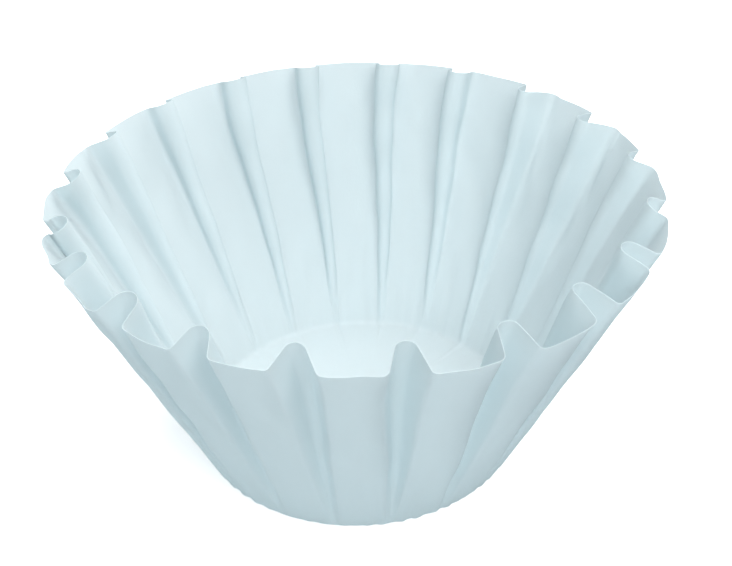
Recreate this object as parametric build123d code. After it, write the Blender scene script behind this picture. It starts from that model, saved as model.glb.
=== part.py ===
from build123d import *
import os
from math import acos, asin, atan2, cos, hypot, pi, radians, sin, sqrt, tan

# Flat-bottomed fluted coffee filter, pressed from one round sheet of crepe paper.
# Units are millimetres. +Z is the filter's axis, and the origin is the middle of the flat
# base, on the plane it stands on. One valley of the wall lies FIRST_VALLEY_DEG round from -Y.

# The paper, before pressing and after.
FLAT_DIAMETER = 250.0  # the round sheet that the filter is pressed from
BASE_DIAMETER = 90.0  # across the flat base, where the wall starts
PAPER_THICKNESS = 0.22
HEEL_RADIUS = 2.2  # bend from the base up into the wall, measured on the outside

# The fluted wall. Slopes are measured from the upright.
FLUTE_COUNT = 20
FIRST_VALLEY_DEG = -45.8  # where the first inner fold stands, anticlockwise from -Y
CREST_SLOPE_DEG = 24.0  # outward lean of the broad outer panels
VALLEY_SLOPE_DEG = 17.8  # outward lean of the narrow inner folds

# Its shape across, at the cut rim and where it starts at the base. Radii are the outer face's.
RIM_FOLD_HALF = 5.0  # from the middle of a valley to where the next panel starts to turn in
RIM_PANEL_RADIUS = 48.0  # curve across an outer panel
RIM_CORNER_RADIUS = 1.7  # bend between an outer panel and a side wall
RIM_VALLEY_RADIUS = 3.0  # bend of the inner fold
FOOT_FOLD_HALF = 1.4  # the folds' narrow tips, measured as at the rim
FOOT_BEND_RADIUS = 0.6  # both bends, where the wall starts

WALL_LEVELS = (0.0, 0.12, 0.3, 0.6, 1.0)  # heights that the wall is drawn at, as shares of its rise
TRIM_ROOM = 1.5  # how far the wall is drawn past its cut edge before it is cut

# Worked out from the sizes above.
BASE_RADIUS = BASE_DIAMETER / 2
SLANT = (FLAT_DIAMETER - BASE_DIAMETER) / 2  # paper between the base's edge and the cut edge
PITCH_DEG = 360.0 / FLUTE_COUNT
FIRST_PANEL_DEG = FIRST_VALLEY_DEG - 90.0 - PITCH_DEG / 2  # middle of a panel, anticlockwise from +X
MEAN_SLOPE_DEG = (CREST_SLOPE_DEG + VALLEY_SLOPE_DEG) / 2
WALL_FOOT = HEEL_RADIUS * (1 - sin(radians(MEAN_SLOPE_DEG)))  # where the heel turns into the wall
PLAN_THICKNESS = PAPER_THICKNESS / cos(radians(MEAN_SLOPE_DEG))
WALL_RISE = SLANT * cos(radians(VALLEY_SLOPE_DEG)) + TRIM_ROOM
PAST_RIM = WALL_RISE / (SLANT * cos(radians(MEAN_SLOPE_DEG)))  # the drawn wall over the cut one


def turned(point, turn_deg):
    """A plan point turned about the axis, positive anticlockwise seen from above."""
    x, y = point
    c, s = cos(radians(turn_deg)), sin(radians(turn_deg))
    return (c * x - s * y, s * x + c * y)


def on_circle(centre, radius, bearing):
    """The point of a circle at a bearing in radians, clockwise from +Y."""
    return (centre[0] + radius * sin(bearing), centre[1] + radius * cos(bearing))


def between(foot_value, rim_value, level):
    """A size of the wall at a level, which grows evenly from the foot to past the rim."""
    return foot_value + (rim_value - foot_value) * level * PAST_RIM


def foot_circle(inset):
    """The half flute's stretches on the base's edge, where the wall is still round.

    The outer panel keeps nearly its whole width down there. Corner, side wall and fold close
    to a narrow tip, and take a third of it each.
    """
    half_pitch = radians(PITCH_DEG / 2)
    tip = FOOT_FOLD_HALF / BASE_RADIUS
    bearings = [0.0] + [half_pitch - tip * part / 3 for part in (3, 2, 1, 0)]
    return [
        tuple(on_circle((0.0, 0.0), BASE_RADIUS - inset, b) for b in (start, (start + end) / 2, end))
        for start, end in zip(bearings, bearings[1:])
    ]


def half_flute(level, inset):
    """The stretches of wall from the middle of an outer panel to the middle of the next valley.

    The panel stands on +Y and the valley half a pitch clockwise of it. The panel's arc, its
    corner, the straight side wall and the valley's arc run on into each other. Each stretch
    is (start, middle, end), moved inward by inset, which leaves every stretch parallel.
    """
    if level == 0.0:
        return foot_circle(inset)
    rise = WALL_RISE * level
    crest_reach = BASE_RADIUS + rise * tan(radians(CREST_SLOPE_DEG))
    valley_reach = BASE_RADIUS + rise * tan(radians(VALLEY_SLOPE_DEG))
    valley_bearing = radians(PITCH_DEG / 2)
    panel_half = crest_reach * sin(valley_bearing) - between(FOOT_FOLD_HALF, RIM_FOLD_HALF, level)
    panel = between(BASE_RADIUS, RIM_PANEL_RADIUS, level)
    corner = between(FOOT_BEND_RADIUS, RIM_CORNER_RADIUS, level)
    fold = between(FOOT_BEND_RADIUS, RIM_VALLEY_RADIUS, level)

    panel_centre = (0.0, crest_reach - panel)
    corner_bearing = asin(panel_half / panel)
    corner_centre = on_circle(panel_centre, panel - corner, corner_bearing)
    fold_centre = on_circle((0.0, 0.0), valley_reach + fold, valley_bearing)

    # The side wall is the tangent that crosses between the corner's circle and the fold's.
    across, along = fold_centre[0] - corner_centre[0], fold_centre[1] - corner_centre[1]
    wall_bearing = atan2(across, along) - acos((corner + fold) / hypot(across, along))

    panel, corner, fold = panel - inset, corner - inset, fold + inset
    panel_mid = on_circle(panel_centre, panel, 0.0)
    panel_quarter = on_circle(panel_centre, panel, corner_bearing / 2)
    panel_end = on_circle(panel_centre, panel, corner_bearing)
    corner_mid = on_circle(corner_centre, corner, (corner_bearing + wall_bearing) / 2)
    side_start = on_circle(corner_centre, corner, wall_bearing)
    side_end = on_circle(fold_centre, fold, wall_bearing + pi)
    fold_quarter = on_circle(fold_centre, fold, (wall_bearing + valley_bearing) / 2 + pi)
    fold_mid = on_circle(fold_centre, fold, valley_bearing + pi)
    return [
        (panel_mid, panel_quarter, panel_end),
        (panel_end, corner_mid, side_start),
        (side_start, None, side_end),
        (side_end, fold_quarter, fold_mid),
    ]


def edge_between(start, middle, end, height):
    """A wall stretch at a height: an arc through three points, or a straight line."""
    if middle is None:
        return Line((*start, height), (*end, height))
    return ThreePointArc((*start, height), (*middle, height), (*end, height))


def ring(level, inset):
    """The wall's closed outline at a level: each half flute with its mirror image."""
    height = WALL_FOOT + WALL_RISE * level
    half = half_flute(level, inset)
    mirrored = [tuple(p and (-p[0], p[1]) for p in reversed(stretch)) for stretch in reversed(half)]
    edges = []
    for flute in range(FLUTE_COUNT):
        panel_turn = FIRST_PANEL_DEG - 90.0 - PITCH_DEG * flute  # half_flute's panel is on +Y
        for stretch in mirrored + half:
            points = (p and turned(p, panel_turn) for p in stretch)
            edges.append(edge_between(*points, height))
    return Wire(edges)


def wall_body(inset):
    """The solid inside the wall's outer face, or inside its inner face at an inset."""
    return Solid.make_loft([ring(level, inset) for level in WALL_LEVELS])


def turned_body(profile):
    """A profile spun about the axis, with its seam in the middle of a panel."""
    return Solid.revolve(Face(Wire(profile)), 360.0, Axis.Z).rotate(Axis.Z, FIRST_PANEL_DEG)


def dish():
    """The flat base with its heel, up to where the wall starts."""
    arc_run = HEEL_RADIUS * cos(radians(MEAN_SLOPE_DEG))
    flat_radius = BASE_RADIUS - arc_run
    middle = radians((90.0 + MEAN_SLOPE_DEG) / 2)
    outer_mid = (flat_radius + HEEL_RADIUS * cos(middle), HEEL_RADIUS * (1 - sin(middle)))
    inner_radius = HEEL_RADIUS - PAPER_THICKNESS
    inner_mid = (flat_radius + inner_radius * cos(middle), HEEL_RADIUS - inner_radius * sin(middle))
    profile = [
        Line((0, 0, 0), (flat_radius, 0, 0)),
        ThreePointArc((flat_radius, 0, 0), (outer_mid[0], 0, outer_mid[1]), (BASE_RADIUS, 0, WALL_FOOT)),
        Line((BASE_RADIUS, 0, WALL_FOOT), (BASE_RADIUS - PLAN_THICKNESS, 0, WALL_FOOT)),
        ThreePointArc(
            (BASE_RADIUS - PLAN_THICKNESS, 0, WALL_FOOT),
            (inner_mid[0], 0, inner_mid[1]),
            (flat_radius, 0, PAPER_THICKNESS),
        ),
        Line((flat_radius, 0, PAPER_THICKNESS), (0, 0, PAPER_THICKNESS)),
        Line((0, 0, PAPER_THICKNESS), (0, 0, 0)),
    ]
    return turned_body(profile)


def cut_edge_body():
    """All the space that the round sheet's edge can reach, swung up about the base's edge.

    Every point of the cut edge stays one slant from the edge of the base, so the valleys,
    which lean out least, stand a little higher than the crests.
    """
    top = WALL_FOOT + SLANT
    reach = BASE_RADIUS + SLANT
    half_turn = SLANT * sqrt(0.5)
    profile = [
        Line((0, 0, 0), (reach, 0, 0)),
        Line((reach, 0, 0), (reach, 0, WALL_FOOT)),
        ThreePointArc(
            (reach, 0, WALL_FOOT),
            (BASE_RADIUS + half_turn, 0, WALL_FOOT + half_turn),
            (BASE_RADIUS, 0, top),
        ),
        Line((BASE_RADIUS, 0, top), (0, 0, top)),
        Line((0, 0, top), (0, 0, 0)),
    ]
    return turned_body(profile)


wall = wall_body(0.0) - wall_body(PLAN_THICKNESS)
filter_paper = (wall & cut_edge_body()) + dish()

os.makedirs("parts", exist_ok=True)
export_step(filter_paper, "parts/filter_paper.step")
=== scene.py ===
"""A flat-bottomed paper coffee filter: one round sheet pressed into a fluted cup.

The paper is one closed shell, worked out with numpy. It has the CAD solid's sizes, except for
slightly wider folds at the rim and a thinner cut edge, and the small unevenness of a real
pressing. Lengths here are millimetres until a mesh,
a lamp or the camera is made, which are in metres.
"""

import logging
import math
from dataclasses import dataclass, field
from enum import Enum
from typing import Any, Mapping, Sequence, Union

import bpy
import numpy as np
from mathutils import Matrix, Vector

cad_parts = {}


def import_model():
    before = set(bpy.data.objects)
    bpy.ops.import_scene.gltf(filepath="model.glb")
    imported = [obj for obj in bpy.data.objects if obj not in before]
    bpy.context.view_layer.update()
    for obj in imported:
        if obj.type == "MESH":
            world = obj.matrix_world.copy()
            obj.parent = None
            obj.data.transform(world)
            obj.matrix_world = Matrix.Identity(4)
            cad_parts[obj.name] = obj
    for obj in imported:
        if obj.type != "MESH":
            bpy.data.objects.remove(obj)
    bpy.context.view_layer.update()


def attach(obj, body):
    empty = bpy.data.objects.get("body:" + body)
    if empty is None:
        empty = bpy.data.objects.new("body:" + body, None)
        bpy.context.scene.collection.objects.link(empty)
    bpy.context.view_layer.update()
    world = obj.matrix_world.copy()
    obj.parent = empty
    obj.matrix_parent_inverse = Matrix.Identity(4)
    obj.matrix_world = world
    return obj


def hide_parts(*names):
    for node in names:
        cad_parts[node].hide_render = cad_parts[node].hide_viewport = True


log = logging.getLogger("coffee_filter")

MM = 0.001
NODE = "filter_paper"
BODY = "root"
SHEET_MAP = "sheet"


# --------------------------------------------------------------------------- shader helpers


class Value:
    """A number that flows through a node tree, so that shader maths reads as Python."""

    def __init__(self, tree: "NodeTree", socket: bpy.types.NodeSocket) -> None:
        """Wraps a socket.

        Args:
            tree: the tree that the socket belongs to.
            socket: the output that carries the number.
        """
        self.tree = tree
        self.socket = socket

    def _math(self, operation: str, first: Any, second: Any) -> "Value":
        """One Math node.

        Args:
            operation: the node's operation, such as "MULTIPLY".
            first: a Value or a number.
            second: a Value or a number.

        Returns:
            The node's result.
        """
        inputs = {0: first, 1: second}
        return self.tree.add("ShaderNodeMath", {"operation": operation}, inputs).value()

    def __add__(self, other: Any) -> "Value":
        """self + other."""
        return self._math("ADD", self, other)

    __radd__ = __add__

    def __sub__(self, other: Any) -> "Value":
        """self - other."""
        return self._math("SUBTRACT", self, other)

    def __rsub__(self, other: Any) -> "Value":
        """other - self."""
        return self._math("SUBTRACT", other, self)

    def __mul__(self, other: Any) -> "Value":
        """self * other."""
        return self._math("MULTIPLY", self, other)

    __rmul__ = __mul__


class Node:
    """One node, with its outputs by name."""

    def __init__(self, tree: "NodeTree", node: bpy.types.Node) -> None:
        """Wraps a node.

        Args:
            tree: the tree that the node belongs to.
            node: the Blender node.
        """
        self.tree = tree
        self.node = node

    def out(self, name: Union[str, int] = 0) -> bpy.types.NodeSocket:
        """An output socket, by name or place."""
        return self.node.outputs[name]

    def value(self, name: Union[str, int] = 0) -> Value:
        """An output as a number to reckon with."""
        return Value(self.tree, self.node.outputs[name])


class NodeTree:
    """A node tree that is filled by one method."""

    def __init__(self, tree: bpy.types.NodeTree) -> None:
        """Empties a tree.

        Args:
            tree: a material's or the world's node tree.
        """
        self.tree = tree
        tree.nodes.clear()

    def add(
        self,
        kind: str,
        settings: Mapping[str, Any] | None = None,
        inputs: Mapping[Union[str, int], Any] | None = None,
    ) -> Node:
        """Adds a node.

        Args:
            kind: the node's type, such as "ShaderNodeTexNoise".
            settings: the node's own settings, which are made first.
            inputs: for each input, by name or place, a Value, a socket, or a plain number,
                colour or vector.

        Returns:
            The new node.
        """
        node = self.tree.nodes.new(kind)
        for name, setting in (settings or {}).items():
            setattr(node, name, setting)
        for name, given in (inputs or {}).items():
            socket = given.socket if isinstance(given, Value) else given
            if isinstance(socket, bpy.types.NodeSocket):
                self.tree.links.new(socket, node.inputs[name])
            else:
                node.inputs[name].default_value = given
        return Node(self, node)

    def mix_colour(self, share: Any, first: Any, second: Any) -> bpy.types.NodeSocket:
        """A blend of two colours.

        Args:
            share: how much of the second, from 0 to 1.
            first: a colour, or a socket.
            second: a colour, or a socket.

        Returns:
            The blended colour's socket.
        """
        colour_a, colour_b, colour_out = 6, 7, 2
        settings = {"data_type": "RGBA", "clamp_factor": True}
        inputs = {0: share, colour_a: first, colour_b: second}
        return self.add("ShaderNodeMix", settings, inputs).out(colour_out)


def solid_colour(red: float, green: float, blue: float) -> tuple[float, float, float, float]:
    """A colour with its alpha, from three linear shares."""
    return (red, green, blue, 1.0)


# ------------------------------------------------------------------------------- finishes


@dataclass(frozen=True)
class CrepePaper:
    """Uncoated cool white filter paper, matt, soft with fibre, that lets light through."""

    pulp: tuple[float, float, float, float] = solid_colour(0.84, 0.895, 0.905)
    dense_pulp: tuple[float, float, float, float] = solid_colour(0.815, 0.88, 0.895)
    glow: tuple[float, float, float, float] = solid_colour(0.80, 0.88, 0.90)
    glow_share: float = 0.56
    roughness: float = 0.82
    fuzz: float = 0.08
    crepe_mm: float = 1.1
    fibre_mm: float = 0.35
    cloud_mm: float = 9.0
    relief_mm: float = 0.14
    relief_strength: float = 0.6
    cloud_share: float = 0.7  # of the tint; the crepe gives the rest
    crepe_share: float = 0.7  # of the relief; the fibre gives the rest
    roughness_range: float = 0.1
    specular: float = 0.25

    def material(self) -> bpy.types.Material:
        """Makes the paper's material.

        The paper's own flat sheet is the pattern's plane. Clouds of denser pulp tint it, a
        fine crepe and finer fibres raise it, and light from behind glows through it.

        Returns:
            The material.
        """
        paper = bpy.data.materials.new("crepe_paper")
        paper.use_nodes = True
        tree = NodeTree(paper.node_tree)
        place = tree.add("ShaderNodeUVMap", {"uv_map": SHEET_MAP}).out("UV")

        def grain(size_mm: float, detail: float, rough: float) -> Value:
            """Noise on the flat sheet with features of about a size, from 0 to 1."""
            inputs = {
                "Vector": place,
                "Scale": 1 / (size_mm * MM),
                "Detail": detail,
                "Roughness": rough,
            }
            return tree.add("ShaderNodeTexNoise", {"noise_dimensions": "2D"}, inputs).value(0)

        clouds = grain(self.cloud_mm, 3.0, 0.6)
        crepe = grain(self.crepe_mm, 2.0, 0.55)
        fibre = grain(self.fibre_mm, 2.0, 0.6)
        tint = clouds * self.cloud_share + crepe * (1 - self.cloud_share)
        colour = tree.mix_colour(tint, self.pulp, self.dense_pulp)

        height = crepe * self.crepe_share + fibre * (1 - self.crepe_share)
        bump = tree.add(
            "ShaderNodeBump",
            inputs={
                "Strength": self.relief_strength,
                "Distance": self.relief_mm * MM,
                "Height": height,
            },
        ).out()
        sheet = tree.add(
            "ShaderNodeBsdfPrincipled",
            inputs={
                "Base Color": colour,
                "Roughness": self.roughness + (fibre - 0.5) * self.roughness_range,
                "Sheen Weight": self.fuzz,
                "Specular IOR Level": self.specular,
                "Normal": bump,
            },
        ).out()
        glow = tree.add("ShaderNodeBsdfTranslucent", inputs={"Color": self.glow}).out()
        both = tree.add("ShaderNodeMixShader", inputs={0: self.glow_share, 1: sheet, 2: glow}).out()
        tree.add("ShaderNodeOutputMaterial", inputs={"Surface": both})
        return paper


@dataclass(frozen=True)
class StudioFloor:
    """The pale ground: near white to the eye, a little greyer in the light that it sends up."""

    seen: tuple[float, float, float, float] = solid_colour(0.93, 0.94, 0.95)
    bounced: tuple[float, float, float, float] = solid_colour(0.34, 0.36, 0.38)
    lift: float = 0.45

    def material(self) -> bpy.types.Material:
        """Makes the floor's material.

        Returns:
            The material: a matt ground that the camera sees a little brighter.
        """
        ground = bpy.data.materials.new("studio_floor")
        ground.use_nodes = True
        tree = NodeTree(ground.node_tree)
        seen = tree.add("ShaderNodeBsdfDiffuse", inputs={"Color": self.seen}).out()
        lift = tree.add(
            "ShaderNodeEmission",
            inputs={"Color": solid_colour(1, 1, 1), "Strength": self.lift},
        ).out()
        bright = tree.add("ShaderNodeAddShader", inputs={0: seen, 1: lift}).out()
        plain = tree.add("ShaderNodeBsdfDiffuse", inputs={"Color": self.bounced}).out()
        by_eye = tree.add("ShaderNodeLightPath").out("Is Camera Ray")
        ground_mix = tree.add("ShaderNodeMixShader", inputs={0: by_eye, 1: plain, 2: bright}).out()
        tree.add("ShaderNodeOutputMaterial", inputs={"Surface": ground_mix})
        return ground


# ------------------------------------------------------------------------------ the paper


class Face(Enum):
    """The two faces of the paper."""

    OUTER = "outer"
    INNER = "inner"


@dataclass
class Unevenness:
    """How far each fold of a real pressing strays from its place. All are at the cut rim."""

    seed: int = 20
    valley_turn_deg: float = 1.1
    panel_turn_deg: float = 0.7
    valley_reach: float = 0.6
    panel_reach: float = 0.5
    fold_half: float = 0.55
    valley_radius: float = 0.45
    wander_deg: float = 0.8
    cut_reach: float = 0.25
    oval: float = 1.9
    oval_deg: float = 64.0
    panel_sway_deg: float = 2.6
    panel_sway_from: float = 9.5
    shallow_fold: float = 7.6
    shallow_by: float = 4.5
    buckle: float = 0.22
    foot_pucker: float = 0.16
    foot_pucker_height: float = 13.0
    wave_count: int = 9
    wave_turns: tuple[int, int] = (7, 34)
    wave_lengths: tuple[float, float] = (16.0, 46.0)
    wave_rise: float = 18.0  # paper above the base's edge where the waves reach full size
    base_wave_share: float = 0.12
    pucker_count: int = 5
    pucker_turns: tuple[int, int] = (38, 96)
    pucker_above_edge: float = 3.0
    neighbour_share: float = 0.35

    def spread(self, count: int, width: float, salt: int) -> np.ndarray:
        """Seeded values for a ring of folds, one each.

        Args:
            count: how many folds.
            width: the values' spread.
            salt: sets one draw apart from the others.

        Returns:
            Values of mean 0, smoothed a little round the ring, with that spread.
        """
        drawn = np.random.default_rng([self.seed, salt]).normal(size=count)
        smooth = drawn + self.neighbour_share * (np.roll(drawn, 1) + np.roll(drawn, -1))
        smooth -= smooth.mean()
        return smooth / max(smooth.std(), 1e-9) * width


@dataclass
class FilterPaper:
    """The pressed sheet: flat base, rounded heel, fluted wall and cut rim."""

    flat_diameter: float = 250.0
    base_diameter: float = 90.0
    thickness: float = 0.22
    heel_radius: float = 2.2

    flute_count: int = 20
    first_valley_deg: float = -45.8
    crest_slope_deg: float = 24.0
    valley_slope_deg: float = 17.8

    rim_fold_half: float = 5.4
    rim_panel_radius: float = 48.0
    rim_corner_radius: float = 1.7
    rim_valley_radius: float = 3.0
    foot_fold_half: float = 1.4
    foot_bend_radius: float = 0.6
    foot_level: float = 0.12  # where the folds' bearings have opened out of the round foot
    cut_thickness: float = 0.09  # the paper is crushed thin where it was cut

    panel_steps: int = 5
    corner_steps: int = 3
    side_steps: int = 3
    fold_steps: int = 5
    wall_rows: int = 54
    heel_rows: int = 4
    base_rings: tuple[float, ...] = (7.0, 17.0, 26.0, 33.0, 38.0, 41.0)

    finish: CrepePaper = field(default_factory=CrepePaper)
    uneven: Unevenness = field(default_factory=Unevenness)

    def __post_init__(self) -> None:
        """Works out what follows from the sizes."""
        self.base_radius = self.base_diameter / 2
        self.slant = (self.flat_diameter - self.base_diameter) / 2
        self.mean_slope = math.radians((self.crest_slope_deg + self.valley_slope_deg) / 2)
        self.foot = self.heel_radius * (1 - math.sin(self.mean_slope))
        self.flat_radius = self.base_radius - self.heel_radius * math.cos(self.mean_slope)
        self.rise = self.slant * math.cos(self.mean_slope)
        self.pitch = 2 * math.pi / self.flute_count
        self._draw_folds()

    def _draw_folds(self) -> None:
        """Draws each fold's own small errors, as arrays over the half flutes.

        Half flute 2p runs from panel p to the valley before it, and half flute 2p + 1 to the
        valley after it. What belongs to a valley is shared by the halves on both sides.
        """
        uneven, count = self.uneven, self.flute_count
        panel = np.repeat(np.arange(count), 2)
        valley = (panel + np.tile([0, 1], count)) % count

        def of_valleys(width: float, salt: int) -> np.ndarray:
            """One value a valley, spread over its two halves."""
            return uneven.spread(count, width, salt)[valley][:, None, None]

        def of_panels(width: float, salt: int) -> np.ndarray:
            """One value a panel, spread over its two halves."""
            return uneven.spread(count, width, salt)[panel][:, None, None]

        self.side = np.tile([-1.0, 1.0], count)[:, None, None]
        self.panel_number = panel[:, None, None]
        self.valley_turn = np.radians(of_valleys(uneven.valley_turn_deg, 1))
        sway = uneven.panel_sway_deg * np.cos(2 * self.pitch * (panel - uneven.panel_sway_from))
        self.panel_turn = np.radians(of_panels(uneven.panel_turn_deg, 2) + sway[:, None, None])
        shallow = uneven.shallow_by * np.exp(-((valley - uneven.shallow_fold) ** 2))
        self.valley_out = of_valleys(uneven.valley_reach, 3) + shallow[:, None, None]
        self.panel_out = of_panels(uneven.panel_reach, 4)
        self.fold_more = of_valleys(uneven.fold_half, 5)
        self.radius_more = of_valleys(uneven.valley_radius, 6)
        self.wander = np.radians(of_valleys(uneven.wander_deg, 7))
        self.cut_more = of_valleys(uneven.cut_reach, 8)

    def grown(self, foot_value: float, rim_value: Any, level: np.ndarray) -> np.ndarray:
        """A size that grows evenly with height.

        Args:
            foot_value: the size where the wall starts.
            rim_value: the size at the rim, a number or one for each half flute.
            level: heights, as shares of the wall's rise.

        Returns:
            The size at each height.
        """
        return foot_value + (rim_value - foot_value) * level

    def across(self) -> np.ndarray:
        """Places across a half flute, from the panel's middle (0) to the valley's (4).

        Returns:
            The places. A whole number is where one stretch ends and the next starts.
        """
        counts = (self.panel_steps, self.corner_steps, self.side_steps, self.fold_steps)
        pieces = [number + np.arange(count) / count for number, count in enumerate(counts)]
        return np.concatenate(pieces + [[float(len(counts))]])

    def section(self, place: np.ndarray, level: np.ndarray) -> tuple[np.ndarray, np.ndarray]:
        """The wall's plan at any place across and any height.

        A half flute is four stretches that run on into each other: the panel's shallow arc,
        its corner's arc, the straight side wall, and the valley's arc. The side wall is the
        tangent that crosses between the corner's circle and the valley's: it leaves both at
        the bearing of the line of centres less the angle whose cosine is the sum of the two
        radii over the distance between the centres.

        Args:
            place: places across, from 0 to 4, with one row for each half flute.
            level: heights as shares of the wall's rise, of the same shape.

        Returns:
            Each point's distance from the axis, and its azimuth in radians from -Y,
            anticlockwise from above.
        """
        rise = self.rise * level
        sway = self.wander * np.sin(2 * np.pi * level) * level
        crest_lean = math.tan(math.radians(self.crest_slope_deg))
        valley_lean = math.tan(math.radians(self.valley_slope_deg))
        crest = self.base_radius + rise * crest_lean + self.panel_out * level
        inner = self.base_radius + rise * valley_lean + self.valley_out * level
        panel_azimuth = self.panel_turn * level
        valley_azimuth = self.side * self.pitch / 2 + self.valley_turn * level + sway
        bearing = self.side * (valley_azimuth - panel_azimuth)

        fold_half = self.grown(self.foot_fold_half, self.rim_fold_half + self.fold_more, level)
        panel_half = crest * np.sin(bearing) - fold_half
        panel = self.grown(self.base_radius, self.rim_panel_radius, level)
        corner = self.grown(self.foot_bend_radius, self.rim_corner_radius, level)
        fold = self.grown(self.foot_bend_radius, self.rim_valley_radius + self.radius_more, level)

        corner_bearing = np.arcsin(panel_half / panel)
        corner_x = (panel - corner) * np.sin(corner_bearing)
        corner_y = crest - panel + (panel - corner) * np.cos(corner_bearing)
        fold_x = (inner + fold) * np.sin(bearing)
        fold_y = (inner + fold) * np.cos(bearing)
        gap_x, gap_y = fold_x - corner_x, fold_y - corner_y
        share = np.clip((corner + fold) / np.hypot(gap_x, gap_y), -1.0, 1.0)
        wall_bearing = np.arctan2(gap_x, gap_y) - np.arccos(share)

        part = np.clip(place - np.arange(4)[:, None, None, None], 0.0, 1.0)
        panel_turn = corner_bearing * part[0]
        corner_turn = corner_bearing + (wall_bearing - corner_bearing) * part[1]
        fold_turn = wall_bearing + (bearing - wall_bearing) * part[3]
        on_panel = (panel * np.sin(panel_turn), crest - panel + panel * np.cos(panel_turn))
        on_corner = (corner_x + corner * np.sin(corner_turn), corner_y + corner * np.cos(corner_turn))
        on_fold = (fold_x - fold * np.sin(fold_turn), fold_y - fold * np.cos(fold_turn))
        leave_x = corner_x + corner * np.sin(wall_bearing)
        leave_y = corner_y + corner * np.cos(wall_bearing)
        reach_x = fold_x - fold * np.sin(wall_bearing)
        reach_y = fold_y - fold * np.cos(wall_bearing)
        on_side = (leave_x + (reach_x - leave_x) * part[2], leave_y + (reach_y - leave_y) * part[2])

        stretches = [place <= 1, place <= 2, place <= 3]
        x = np.select(stretches, [on_panel[0], on_corner[0], on_side[0]], on_fold[0])
        y = np.select(stretches, [on_panel[1], on_corner[1], on_side[1]], on_fold[1])
        start = math.radians(self.first_valley_deg) + self.pitch * (self.panel_number + 0.5)
        bearing_foot = self.foot_bearing(place)
        opened = np.clip(level / self.foot_level, 0.0, 1.0)
        opened = opened * opened * (3 - 2 * opened)
        turn = bearing_foot + (np.arctan2(x, y) - bearing_foot) * opened
        azimuth = start + panel_azimuth + self.side * turn
        return np.hypot(x, y) + self.out_of_round(azimuth) * level, azimuth

    def foot_bearing(self, place: np.ndarray) -> np.ndarray:
        """Bearings from a panel's middle where the wall starts, on the base's round edge."""
        tip = self.foot_fold_half / self.base_radius
        on_panel = (self.pitch / 2 - tip) * place
        in_fold = self.pitch / 2 - tip * (4 - place) / 3
        return np.where(place <= 1, on_panel, in_fold)

    def out_of_round(self, azimuth: np.ndarray) -> np.ndarray:
        """How far the mouth stands out at an azimuth: a two-lobed wave, as a soft cup settles."""
        return self.uneven.oval * np.cos(2 * (azimuth - math.radians(self.uneven.oval_deg)))

    def in_order(self, halves: np.ndarray) -> np.ndarray:
        """Puts the half flutes' columns in order round the filter.

        Args:
            halves: an array of half flutes by places across by rows.

        Returns:
            An array of rows by columns, each column once, anticlockwise.
        """
        before = halves[0::2, :0:-1]
        after = halves[1::2, :-1]
        flutes = np.concatenate([before, after], axis=1)
        return flutes.reshape(-1, halves.shape[2]).T

    def wall(self) -> tuple[np.ndarray, np.ndarray]:
        """The wall's outer face, from the heel to the cut rim.

        Each column runs up the wall until it has used one slant of paper: its level at the
        rim is the slant over the length of the straight line from the foot to level 1.

        Returns:
            The points, as rows by columns by 3, and each row's share of the slant.
        """
        across = self.across()[None, :, None]
        ones = np.ones((2 * self.flute_count, across.shape[1], 1))
        reach, _ = self.section(across * ones, ones)
        line = np.hypot(reach - self.base_radius, self.rise)
        cut = (self.slant + self.cut_more * np.sin(across)) / line
        rows = np.linspace(0.0, 1.0, self.wall_rows + 1)
        rows = rows * (0.55 + 0.45 * rows)
        level = cut * rows[None, None, :]
        reach, azimuth = self.section(across * np.ones_like(level), level)
        height = self.foot + self.rise * level
        reach, azimuth, height = (self.in_order(a) for a in (reach, azimuth, height))
        return self.points(reach, azimuth, height), rows

    def points(self, reach: np.ndarray, azimuth: np.ndarray, height: np.ndarray) -> np.ndarray:
        """Points from distances off the axis, azimuths from -Y and heights."""
        return np.stack([reach * np.sin(azimuth), -reach * np.cos(azimuth), height], axis=-1)

    def floor_and_heel(self, azimuth: np.ndarray) -> tuple[np.ndarray, np.ndarray]:
        """The outer face of the flat base and its heel, below the wall.

        The base is rings about the axis. The heel turns up from it along a quarter arc that
        stops where it leans as the wall does.

        Args:
            azimuth: the columns' azimuths at the wall's foot.

        Returns:
            The points, as rows by columns by 3, and each row's distance from the sheet's
            middle along the paper.
        """
        rings = np.array(self.base_rings + (self.flat_radius,))
        turn = np.linspace(0, math.pi / 2 - self.mean_slope, self.heel_rows + 1)[1:-1]
        reach = np.concatenate([rings, self.flat_radius + self.heel_radius * np.sin(turn)])
        height = np.concatenate([np.zeros_like(rings), self.heel_radius * (1 - np.cos(turn))])
        along = np.concatenate([rings, self.flat_radius + self.heel_radius * turn])
        shape = np.ones_like(azimuth)[None, :]
        return self.points(reach[:, None] * shape, azimuth[None, :] * np.ones_like(reach)[:, None],
                           height[:, None] * shape), along

    def face_normals(self, grid: np.ndarray) -> np.ndarray:
        """Unit normals of a grid that is closed round its columns, pointing out of the cup."""
        round_way = np.roll(grid, -1, axis=1) - np.roll(grid, 1, axis=1)
        up_way = np.gradient(grid, axis=0)
        normal = np.cross(round_way, up_way)
        return normal / np.linalg.norm(normal, axis=-1, keepdims=True)

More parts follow.
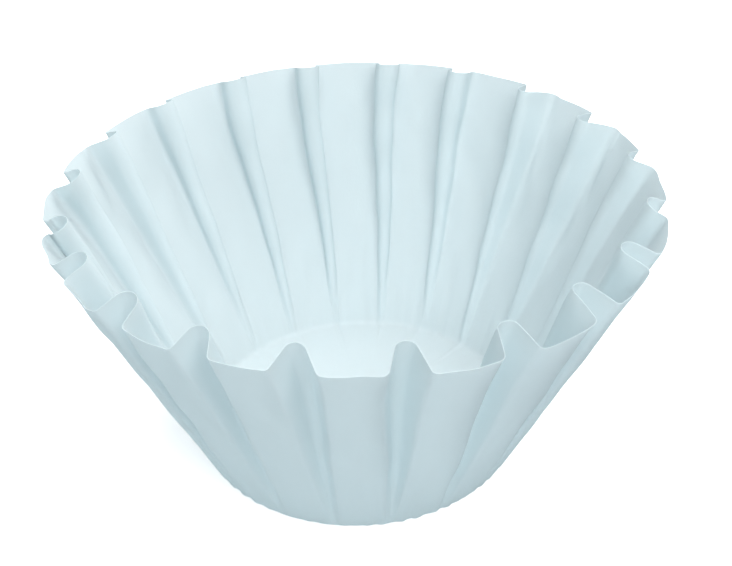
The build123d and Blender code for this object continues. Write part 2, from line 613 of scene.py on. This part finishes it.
    def buckle(self, along: np.ndarray, azimuth: np.ndarray) -> np.ndarray:
        """How far the paper stands off its true place, along its normal.

        Long soft waves cross the whole wall. Short radial puckers gather at its foot, where
        the round sheet had most paper to take in, and die out going up and going in.

        Args:
            along: each row's distance from the sheet's middle, along the paper.
            azimuth: each column's azimuth on the flat sheet.

        Returns:
            The distance out, as rows by columns.
        """
        uneven = self.uneven
        draw = np.random.default_rng([uneven.seed, 50])
        a, s = azimuth[None, :], along[:, None]
        waves = np.zeros((len(along), len(azimuth)))
        for _ in range(uneven.wave_count):
            turns = int(draw.integers(*uneven.wave_turns))
            length = draw.uniform(*uneven.wave_lengths)
            phase, tilt = draw.uniform(0, 2 * math.pi, 2)
            waves += np.sin(turns * a + phase) * np.sin(2 * math.pi * s / length + tilt)
        waves *= uneven.buckle / math.sqrt(uneven.wave_count)
        wall_share = np.clip((s - self.base_radius) / uneven.wave_rise, 0.0, 1.0)

        puckers = np.zeros_like(waves)
        for _ in range(uneven.pucker_count):
            turns = int(draw.integers(*uneven.pucker_turns))
            phase = draw.uniform(0, 2 * math.pi)
            puckers += np.sin(turns * a + phase)
        off = (s - self.base_radius - uneven.pucker_above_edge) / uneven.foot_pucker_height
        puckers *= uneven.foot_pucker / 2.0 * np.exp(-off * off)
        base_share = uneven.base_wave_share
        return waves * (base_share + (1 - base_share) * wall_share) + puckers

    def shell(self) -> tuple[np.ndarray, np.ndarray, np.ndarray]:
        """The whole paper's outer and inner face.

        The inner face is the outer face moved in along its normals by the paper's thickness.

        Returns:
            The two faces as rows by columns by 3, and each point's place on the flat sheet,
            as rows by columns by 2.
        """
        wall, rows = self.wall()
        azimuth = np.unwrap(np.arctan2(wall[0, :, 0], -wall[0, :, 1]))
        low, along_low = self.floor_and_heel(azimuth)
        grid = np.concatenate([low, wall])
        heel_length = self.heel_radius * (math.pi / 2 - self.mean_slope)
        along = np.concatenate([along_low, self.flat_radius + heel_length + self.slant * rows])
        off = self.buckle(along, azimuth)
        grid = grid + self.face_normals(grid) * off[..., None]
        grid[..., 2] = np.maximum(grid[..., 2], 0.0)
        depth = np.full((len(along), 1, 1), self.thickness)
        depth[-1] = self.cut_thickness
        inner = grid - self.face_normals(grid) * depth
        flat = along[:, None, None] * np.stack([np.sin(azimuth), -np.cos(azimuth)], axis=-1)
        return grid, inner, flat

    def build(self) -> bpy.types.Object:
        """Makes the paper's mesh: both faces, their middles and the cut edge between them.

        Returns:
            The object, at the origin, in metres.
        """
        outer, inner, flat = self.shell()
        rows, columns = outer.shape[:2]
        middle = np.array([[0.0, 0.0, 0.0], [0.0, 0.0, self.thickness]])
        points = np.concatenate([outer.reshape(-1, 3), inner.reshape(-1, 3), middle]) * MM
        sheet = np.concatenate([flat.reshape(-1, 2), flat.reshape(-1, 2), np.zeros((2, 2))]) * MM

        number = {
            Face.OUTER: np.arange(rows * columns).reshape(rows, columns),
            Face.INNER: np.arange(rows * columns).reshape(rows, columns) + rows * columns,
        }
        pole = {Face.OUTER: 2 * rows * columns, Face.INNER: 2 * rows * columns + 1}
        quads, fans = [], []
        for face, n in number.items():
            after = np.roll(n, -1, axis=1)
            around = [n[:-1], after[:-1], after[1:], n[1:]]
            fan = [np.full(columns, pole[face]), after[0], n[0]]
            if face is Face.INNER:
                around.reverse()
                fan.reverse()
            quads.append(np.stack(around, axis=-1).reshape(-1, 4))
            fans.append(np.stack(fan, axis=-1))
        rim_out, rim_in = number[Face.OUTER][-1], number[Face.INNER][-1]
        edge = [rim_out, np.roll(rim_out, -1), np.roll(rim_in, -1), rim_in]
        quads.append(np.stack(edge, axis=-1))

        mesh = self._mesh(points, np.concatenate(quads), np.concatenate(fans), sheet)
        self._sharpen(mesh, rim_out, rim_in)
        mesh.materials.append(self.finish.material())
        piece = bpy.data.objects.new("pressed_paper", mesh)
        bpy.context.scene.collection.objects.link(piece)
        return piece

    def _mesh(
        self, points: np.ndarray, quads: np.ndarray, fans: np.ndarray, sheet: np.ndarray
    ) -> bpy.types.Mesh:
        """Fills a mesh from arrays.

        Args:
            points: the vertices, in metres.
            quads: faces of four.
            fans: faces of three.
            sheet: each vertex's place on the flat sheet, in metres.

        Returns:
            The mesh, smooth, with the flat sheet as its UV map.
        """
        mesh = bpy.data.meshes.new("pressed_paper")
        corners = np.concatenate([quads.ravel(), fans.ravel()]).astype(np.int32)
        sizes = np.concatenate([np.full(len(quads), 4), np.full(len(fans), 3)])
        mesh.vertices.add(len(points))
        mesh.vertices.foreach_set("co", points.ravel().astype(np.float32))
        mesh.loops.add(len(corners))
        mesh.loops.foreach_set("vertex_index", corners)
        mesh.polygons.add(len(sizes))
        mesh.polygons.foreach_set("loop_start", (np.cumsum(sizes) - sizes).astype(np.int32))
        mesh.polygons.foreach_set("use_smooth", np.ones(len(sizes), bool))
        layer = mesh.uv_layers.new(name=SHEET_MAP)
        layer.data.foreach_set("uv", sheet[corners].ravel().astype(np.float32))
        mesh.update(calc_edges=True)
        mesh.validate()
        return mesh

    def _sharpen(self, mesh: bpy.types.Mesh, rim_out: np.ndarray, rim_in: np.ndarray) -> None:
        """Marks both borders of the cut edge as sharp, so that the faces beside it stay smooth."""
        ends = np.empty(2 * len(mesh.edges), np.int32)
        mesh.edges.foreach_get("vertices", ends)
        ends = ends.reshape(-1, 2)
        sharp = np.isin(ends, rim_out).all(axis=1) | np.isin(ends, rim_in).all(axis=1)
        mark = mesh.attributes.new("sharp_edge", "BOOLEAN", "EDGE")
        mark.data.foreach_set("value", sharp)


# ----------------------------------------------------------------------------- the studio


@dataclass
class Studio:
    """Floor, sky, lamps and camera. Angles are degrees, and lengths metres."""

    floor_size: float = 4.0
    floor_drop: float = 0.00005
    sky: float = 0.24

    key_azimuth: float = -22.0
    key_elevation: float = 56.0
    key_distance: float = 1.2
    key_size: float = 0.9
    key_power: float = 14.5

    back_azimuth: float = 212.0
    back_elevation: float = 50.0
    back_distance: float = 1.1
    back_size: float = 0.9
    back_power: float = 10.0

    top_height: float = 1.2
    top_size: float = 1.4
    top_power: float = 6.8

    camera_distance: float = 0.3407
    camera_elevation: float = 35.18
    camera_base: float = 0.0404
    camera_turn: float = -0.61
    camera_tip: float = 0.77
    camera_roll: float = -2.07
    lens: float = 62.2

    def build(self) -> None:
        """Sets up everything that isn't the object."""
        self._floor()
        self._sky()
        self._lamps()
        self._camera()
        bpy.context.scene.view_settings.view_transform = "Standard"

    def _floor(self) -> None:
        """A wide flat ground just under the base."""
        half = self.floor_size / 2
        mesh = bpy.data.meshes.new("floor")
        corners = [(-half, -half), (half, -half), (half, half), (-half, half)]
        mesh.from_pydata([(x, y, -self.floor_drop) for x, y in corners], [], [(0, 1, 2, 3)])
        mesh.materials.append(StudioFloor().material())
        floor = bpy.data.objects.new("floor", mesh)
        bpy.context.scene.collection.objects.link(floor)

    def _sky(self) -> None:
        """An even pale sky, which the camera sees as white."""
        world = bpy.data.worlds.new("sky")
        bpy.context.scene.world = world
        world.use_nodes = True
        tree = NodeTree(world.node_tree)
        light = tree.add(
            "ShaderNodeBackground",
            inputs={"Color": solid_colour(0.97, 0.99, 1.0), "Strength": self.sky},
        ).out()
        white = tree.add(
            "ShaderNodeBackground",
            inputs={"Color": solid_colour(1, 1, 1), "Strength": 1.0},
        ).out()
        by_eye = tree.add("ShaderNodeLightPath").out("Is Camera Ray")
        mixed = tree.add("ShaderNodeMixShader", inputs={0: by_eye, 1: light, 2: white}).out()
        tree.add("ShaderNodeOutputWorld", inputs={"Surface": mixed})

    def _lamp(self, name: str, place: Vector, size: float, power: float) -> None:
        """A square soft lamp that looks at the middle of the cup.

        Args:
            name: the lamp's name.
            place: where it stands.
            size: its side.
            power: its power in watts.
        """
        lamp = bpy.data.lights.new(name, "AREA")
        lamp.size = size
        lamp.energy = power
        holder = bpy.data.objects.new(name, lamp)
        aim = Vector((0.0, 0.0, 0.04)) - place
        holder.matrix_world = Matrix.Translation(place) @ aim.to_track_quat("-Z", "Y").to_matrix().to_4x4()
        bpy.context.scene.collection.objects.link(holder)

    def _place(self, azimuth_deg: float, elevation_deg: float, distance: float) -> Vector:
        """A place round the cup, by its azimuth clockwise from the front, height and distance."""
        azimuth, elevation = math.radians(azimuth_deg), math.radians(elevation_deg)
        level = distance * math.cos(elevation)
        height = distance * math.sin(elevation)
        return Vector((-level * math.sin(azimuth), -level * math.cos(azimuth), height))

    def _lamps(self) -> None:
        """A lamp high in front, one behind, both to the right, and a broad one overhead.

        The one behind shines into the cup and glows through the front of its wall.
        """
        key = self._place(self.key_azimuth, self.key_elevation, self.key_distance)
        self._lamp("key_lamp", key, self.key_size, self.key_power)
        back = self._place(self.back_azimuth, self.back_elevation, self.back_distance)
        self._lamp("back_lamp", back, self.back_size, self.back_power)
        self._lamp("top_lamp", Vector((0.0, 0.0, self.top_height)), self.top_size, self.top_power)

    def _camera(self) -> None:
        """The camera in front, looking down into the cup."""
        camera = bpy.data.cameras.new("camera")
        camera.lens = self.lens
        camera.clip_start = 0.01
        holder = bpy.data.objects.new("camera", camera)
        elevation = math.radians(self.camera_elevation)
        place = Vector((
            0.0,
            -self.camera_distance * math.cos(elevation),
            self.camera_base + self.camera_distance * math.sin(elevation),
        ))
        down = math.radians(90.0 - self.camera_elevation + self.camera_tip)
        holder.matrix_world = (
            Matrix.Translation(place)
            @ Matrix.Rotation(math.radians(self.camera_turn), 4, "Z")
            @ Matrix.Rotation(down, 4, "X")
            @ Matrix.Rotation(math.radians(self.camera_roll), 4, "Z")
        )
        bpy.context.scene.collection.objects.link(holder)
        bpy.context.scene.camera = holder


def main() -> None:
    """Loads the frame, builds the paper on its node and sets up the studio."""
    logging.basicConfig(level=logging.INFO, format="%(name)s: %(message)s")
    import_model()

    paper = FilterPaper().build()
    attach(paper, BODY)
    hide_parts(NODE)
    log.info("%s: %d faces", paper.name, len(paper.data.polygons))

    Studio().build()


if __name__ == "__main__":
    main()
